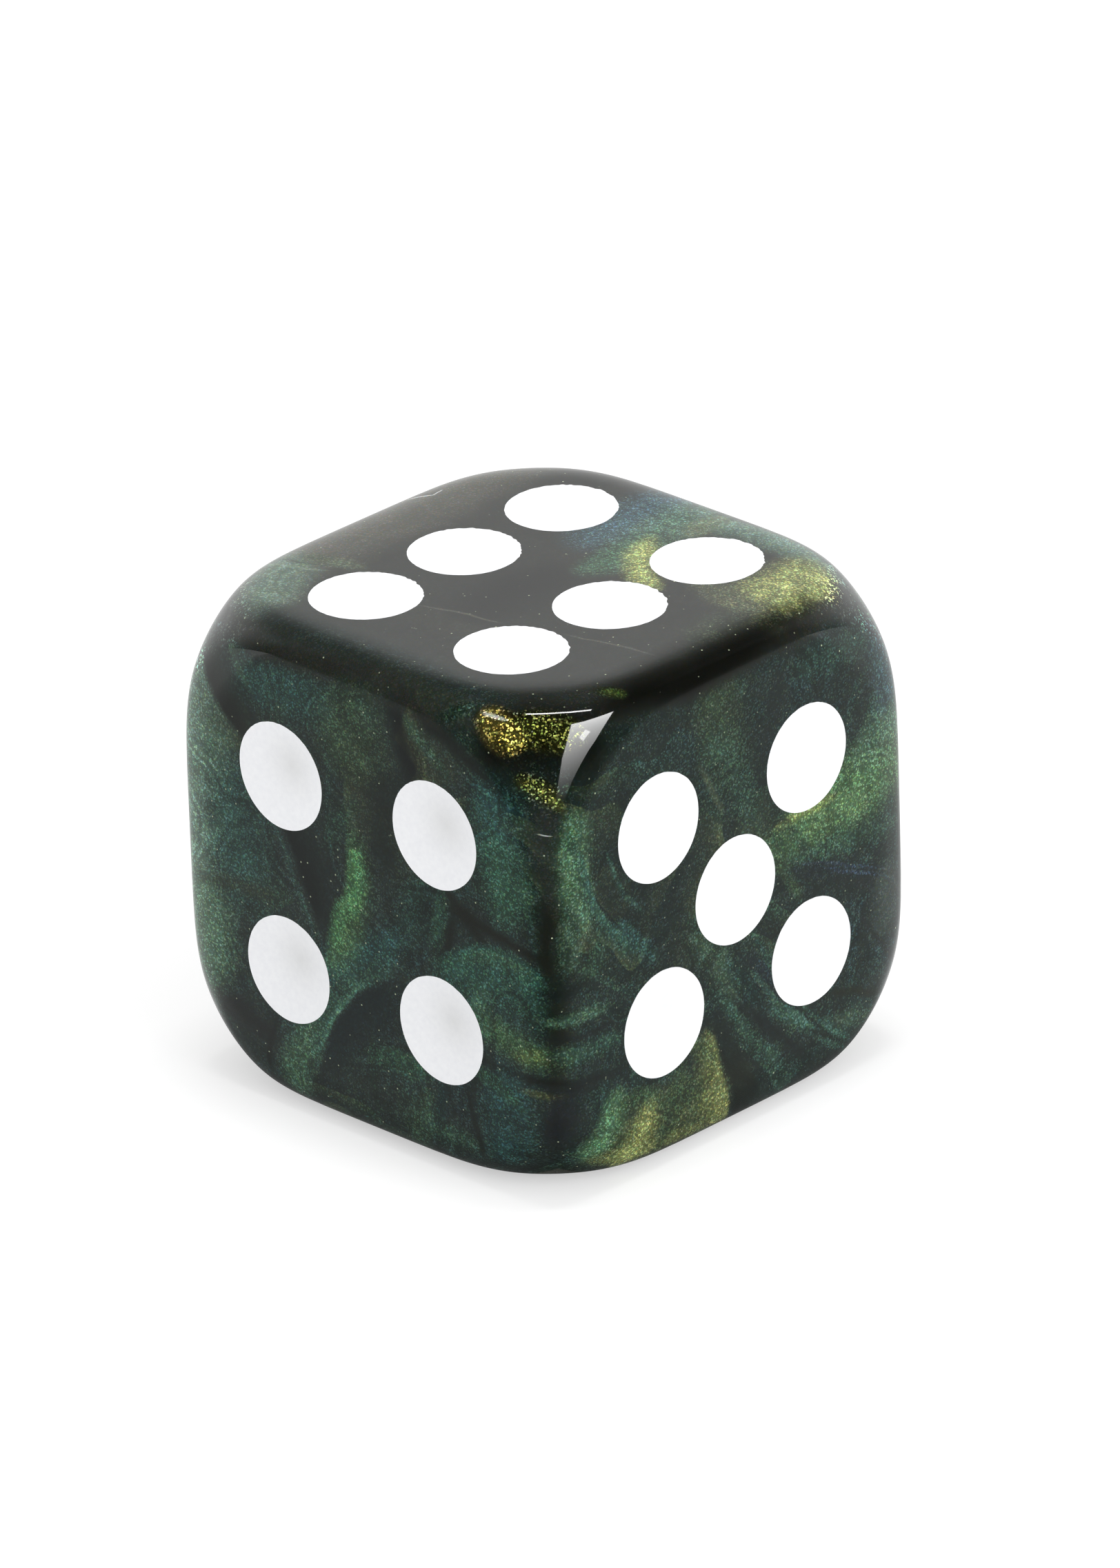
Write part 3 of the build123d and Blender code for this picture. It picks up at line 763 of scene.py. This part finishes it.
def pip_enamel():
    """White enamel in the dimples: it dries with a faint orange peel, and a painted shade greys each bowl.
    """
    made, tree, shader = material("white enamel, flowed in and dried")
    shader.inputs["IOR"].default_value = 1.5
    shader.inputs["Roughness"].default_value = 0.25
    node = partial(add, tree)
    place = node("ShaderNodeTexCoord", output="Object")
    peel_width, peel_height = 0.16 * MM, 0.01 * MM
    peel = node("ShaderNodeTexNoise", {"Vector": place, "Scale": 1 / peel_width, "Detail": 2.0})
    cover = node("ShaderNodeMapRange", {"Value": peel, "From Min": 0.3, "From Max": 0.7})
    white = node("ShaderNodeMix", {"Factor": cover, "A": linear("#f0f1f4"), "B": linear("#f5f6f8")},
                 "Result", data_type="RGBA")
    # The painted shade that greys each bowl.
    painted_shade = node("ShaderNodeAttribute", attribute_name="painted_shade", output="Fac")
    colour = node("ShaderNodeMix", {"Factor": painted_shade, "A": white, "B": linear("#d3d4d3")}, "Result",
                  data_type="RGBA")
    tree.links.new(colour, shader.inputs["Base Color"])
    raised = node("ShaderNodeBump", {"Height": peel, "Strength": 0.25, "Distance": peel_height})
    tree.links.new(raised, shader.inputs["Normal"])
    return made


# ------------------------------
# The die


def smooth(piece):
    """Smooth shading, with creases only where two faces meet at more than a rounding's step."""
    crease = math.radians(9)
    piece.data.shade_smooth()
    piece.data.set_sharp_from_angle(angle=crease)


def build_die():
    """The drilled block of resin, and a pool of paint in each of its dimples."""
    resin, enamel = swirled_resin(), pip_enamel()
    rims = {}
    for number in FACE_AXES:
        chipping = RIM_CHIPPING.get(number, LIGHT_CHIPPING)
        rims[number] = [(name, middle, radius, rim_points(name, middle, radius, chipping))
                        for name, middle, radius in pips_of(number)]
    pip_radius = next(radius for _, _, radius, _ in rims[1])
    sizes = {"Side": SIDE, "Edge blend": EDGE_BLEND, "Corner relief": CORNER_RELIEF,
             "Corner blend": CORNER_BLEND, "Pip radius": pip_radius, "Dimple depth": DIMPLE_DEPTH,
             "Paint sag": PAINT_SAG}

    body = shaped(block_mesh(rims), rolled_block_tree(resin), sizes, "resin_body")
    body.data.transform(Matrix.Translation(CENTRE))
    smooth(body)
    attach(body, "root")
    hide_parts("die_body")

    pool = paint_pool_tree(enamel)
    for number in FACE_AXES:
        for name, middle, _, rings in rims[number]:
            piece = shaped(disc_mesh(name, number, middle, rings), pool, sizes, name + "_paint")
            smooth(piece)
            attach(piece, "root")
            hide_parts(name)


# ------------------------------
# Floor, light and camera


def direction(azimuth, elevation):
    """The way from the die to what stands at an azimuth and an elevation, in degrees. Azimuth 0 is in front
    of face four, and 90 in front of face five."""
    a, e = math.radians(azimuth), math.radians(elevation)
    return Vector((math.sin(a) * math.cos(e), -math.cos(a) * math.cos(e), math.sin(e)))


CAMERA_AZIMUTH = 44.7
TOWARD_CAMERA = direction(CAMERA_AZIMUTH, 0)


def greys(levels):
    """The stops of a ramp from their places and how light they are."""
    return [(at, (level, level, level, 1)) for at, level in levels]


def floor():
    """A white sheet that glows a little: to the camera it is as white as the background but for the die's
    faint shadow. What the polish mirrors of it is white behind the die, and darker in front, where the dark
    of the room begins, and in the die's own shadow. From beneath it can be seen through."""
    made, tree, shader = material("white paper sheet")
    shader.inputs["Base Color"].default_value = linear("#e7e7e7")
    shader.inputs["Roughness"].default_value = 1.0
    shader.inputs["Specular IOR Level"].default_value = 0.0
    node = partial(add, tree)
    paths = node("ShaderNodeLightPath", output=None).outputs
    faint = node("ShaderNodeBsdfDiffuse", {"Color": linear("#bebebe")})
    lift = node("ShaderNodeEmission", {"Strength": 0.5})
    lit = node("ShaderNodeAddShader", (faint, lift))
    spot = node("ShaderNodeTexCoord", output="Object")
    to_camera = node("ShaderNodeVectorMath", (spot, TOWARD_CAMERA), "Value", operation="DOT_PRODUCT")
    behind, near, far = -4 * MM, 12 * MM, 24 * MM
    forward = node("ShaderNodeMapRange", {"Value": to_camera, "From Min": behind, "From Max": near})
    levels = ((0.0, 0.9), (0.12, 0.85), (0.34, 0.47), (0.8, 0.33))
    level = node("ShaderNodeValToRGB", (forward,), stops=greys(levels))
    front = node("ShaderNodeMapRange", {"Value": to_camera, "From Min": near, "From Max": far,
                                        "To Min": 1.0, "To Max": 0.25})
    level = node("ShaderNodeMath", (level, front), operation="MULTIPLY")
    shadow_start, shadow_end, shadow_level = 6.5 * MM, 10.5 * MM, 0.12
    from_middle = node("ShaderNodeVectorMath", (spot,), operation="ABSOLUTE")
    x, y, _ = node("ShaderNodeSeparateXYZ", (from_middle,), None).outputs
    sideways = node("ShaderNodeMath", (x, y), operation="MAXIMUM")
    beside = node("ShaderNodeMapRange", {"Value": sideways, "From Min": shadow_start, "From Max": shadow_end,
                                         "To Min": shadow_level})
    strength = node("ShaderNodeMath", (level, beside), operation="MULTIPLY")
    mirrored = node("ShaderNodeEmission", {"Strength": strength})
    seen = node("ShaderNodeMixShader", (paths["Is Glossy Ray"], shader.outputs[0], mirrored))
    above = node("ShaderNodeMixShader", (paths["Is Camera Ray"], seen, lit))
    from_below = node("ShaderNodeNewGeometry", output="Backfacing")
    final = node("ShaderNodeMixShader", (from_below, above, node("ShaderNodeBsdfTransparent")))
    tree.links.new(final, tree.nodes["Material Output"].inputs["Surface"])
    half, gap = 1.5, 0.02 * MM
    corners = [(x, y, -gap) for x, y in ((-half, -half), (half, -half), (half, half), (-half, half))]
    mesh = bpy.data.meshes.new("floor")
    mesh.from_pydata(corners, [], [(0, 1, 2, 3)])
    piece = bpy.data.objects.new("floor", mesh)
    piece.data.materials.append(made)
    bpy.context.scene.collection.objects.link(piece)


def surroundings():
    """A bright, even tent for the light, plain white to the camera. Mirrored in the polish, it is a white
    wall behind the die, dark overhead, at the sides and behind the camera."""
    world = bpy.data.worlds.new("tent")
    world.use_nodes = True
    bpy.context.scene.world = world
    tree = world.node_tree
    node = partial(add, tree)
    paths = node("ShaderNodeLightPath", output=None).outputs
    way = node("ShaderNodeTexCoord", output="Generated")
    height = node("ShaderNodeSeparateXYZ", (way,), "Z")
    levels = ((0.0, 1.0), (0.3, 0.95), (0.42, 0.8), (0.51, 0.63), (0.56, 0.42), (0.615, 0.28), (0.67, 0.13),
              (0.74, 0.05), (1.0, 0.02))
    graded = node("ShaderNodeValToRGB", (height,), stops=greys(levels))
    to_camera = node("ShaderNodeVectorMath", (way, TOWARD_CAMERA), "Value", operation="DOT_PRODUCT")
    behind = node("ShaderNodeMapRange", {"Value": to_camera, "From Min": -0.5, "From Max": -0.05,
                                         "To Min": 1.0, "To Max": 0.04})
    tent = node("ShaderNodeBackground", {"Color": (1, 1, 1, 1), "Strength": 0.9})
    mirrored = node("ShaderNodeBackground", {"Color": graded, "Strength": behind})
    white = node("ShaderNodeBackground", {"Color": (1, 1, 1, 1)})
    soft = node("ShaderNodeMixShader", (paths["Is Glossy Ray"], tent, mirrored))
    final = node("ShaderNodeMixShader", (paths["Is Camera Ray"], soft, white))
    tree.links.new(final, tree.nodes["World Output"].inputs["Surface"])


def softbox(name, start, end, width, radiance, mirrored, start_share=1.0):
    """A long lamp that faces the die and reaches from one direction (azimuth, elevation) to another, with
    its brightness as the eye sees it. With a start share it dims towards its start, and is narrower there.
    It either shows in the polish or lights the colours, so no highlight changes how light the die is."""
    distance = 0.4
    start, end = direction(*start) * distance, direction(*end) * distance
    middle = (start + end) / 2
    lengthwise = (end - start).normalized()
    back = (middle - lengthwise * middle.dot(lengthwise)).normalized()
    lamp = bpy.data.lights.new(name, "AREA")
    lamp.shape = "RECTANGLE"
    lamp.size, lamp.size_y = width, (end - start).length
    lamp.energy = radiance * math.pi * lamp.size * lamp.size_y
    if start_share < 1:
        lamp.use_nodes = True
        node = partial(add, lamp.node_tree)
        dimming = 1.5
        across = node("ShaderNodeNewGeometry", output="Parametric")
        side, way, _ = node("ShaderNodeSeparateXYZ", (across,), None).outputs
        level = node("ShaderNodeMath", (way, dimming), operation="POWER")
        half = node("ShaderNodeMapRange", {"Value": way, "From Max": 0.5, "To Min": start_share / 2,
                                           "To Max": 0.5})
        open_part = node("ShaderNodeMath", (side, 0.5, half), operation="COMPARE")
        level = node("ShaderNodeMath", (level, open_part), operation="MULTIPLY")
        lamp.node_tree.links.new(level, lamp.node_tree.nodes["Emission"].inputs["Strength"])
    holder = bpy.data.objects.new(name, lamp)
    turned = Matrix((lengthwise.cross(back), lengthwise, back)).transposed().to_4x4()
    holder.matrix_world = Matrix.Translation(CENTRE + middle) @ turned
    holder.visible_glossy, holder.visible_diffuse = mirrored, not mirrored
    bpy.context.scene.collection.objects.link(holder)


def camera():
    """Looks down through a long lens on the corner where four, five and six meet."""
    elevation, roll = 25.05, math.radians(-1.9)
    distance = 422.6 * MM
    aim_right, aim_up = 0.465 * MM, 1.004 * MM
    back = direction(CAMERA_AZIMUTH, elevation)
    level_right = Vector((-TOWARD_CAMERA.y, TOWARD_CAMERA.x, 0))
    level_up = back.cross(level_right)
    right = level_right * math.cos(roll) + level_up * math.sin(roll)
    up = level_up * math.cos(roll) - level_right * math.sin(roll)
    data = bpy.data.cameras.new("camera")
    data.sensor_width = 36
    data.lens = 317.5
    data.clip_start, data.clip_end = 0.01, 10
    holder = bpy.data.objects.new("camera", data)
    place = CENTRE + back * distance + right * aim_right + up * aim_up
    turned = Matrix((right, up, back)).transposed().to_4x4()
    holder.matrix_world = Matrix.Translation(place) @ turned
    bpy.context.scene.collection.objects.link(holder)
    bpy.context.scene.camera = holder


build_die()
floor()
surroundings()
softbox("overhead", (-38, 82.5), (130, 79), width=0.03, radiance=34, mirrored=False)
softbox("side", (76, 12), (106, 47), width=0.11, radiance=4.6, mirrored=False)
softbox("tube", (11, 79.8), (116, 66.5), width=0.016, radiance=25, mirrored=True)
softbox("window", (71, 5), (99, 52), width=0.225, radiance=17.5, mirrored=True, start_share=0.5)
softbox("bulb", (88, 36), (83, 43), width=0.045, radiance=10, mirrored=True)
camera()
bpy.context.scene.view_settings.view_transform = "Standard"
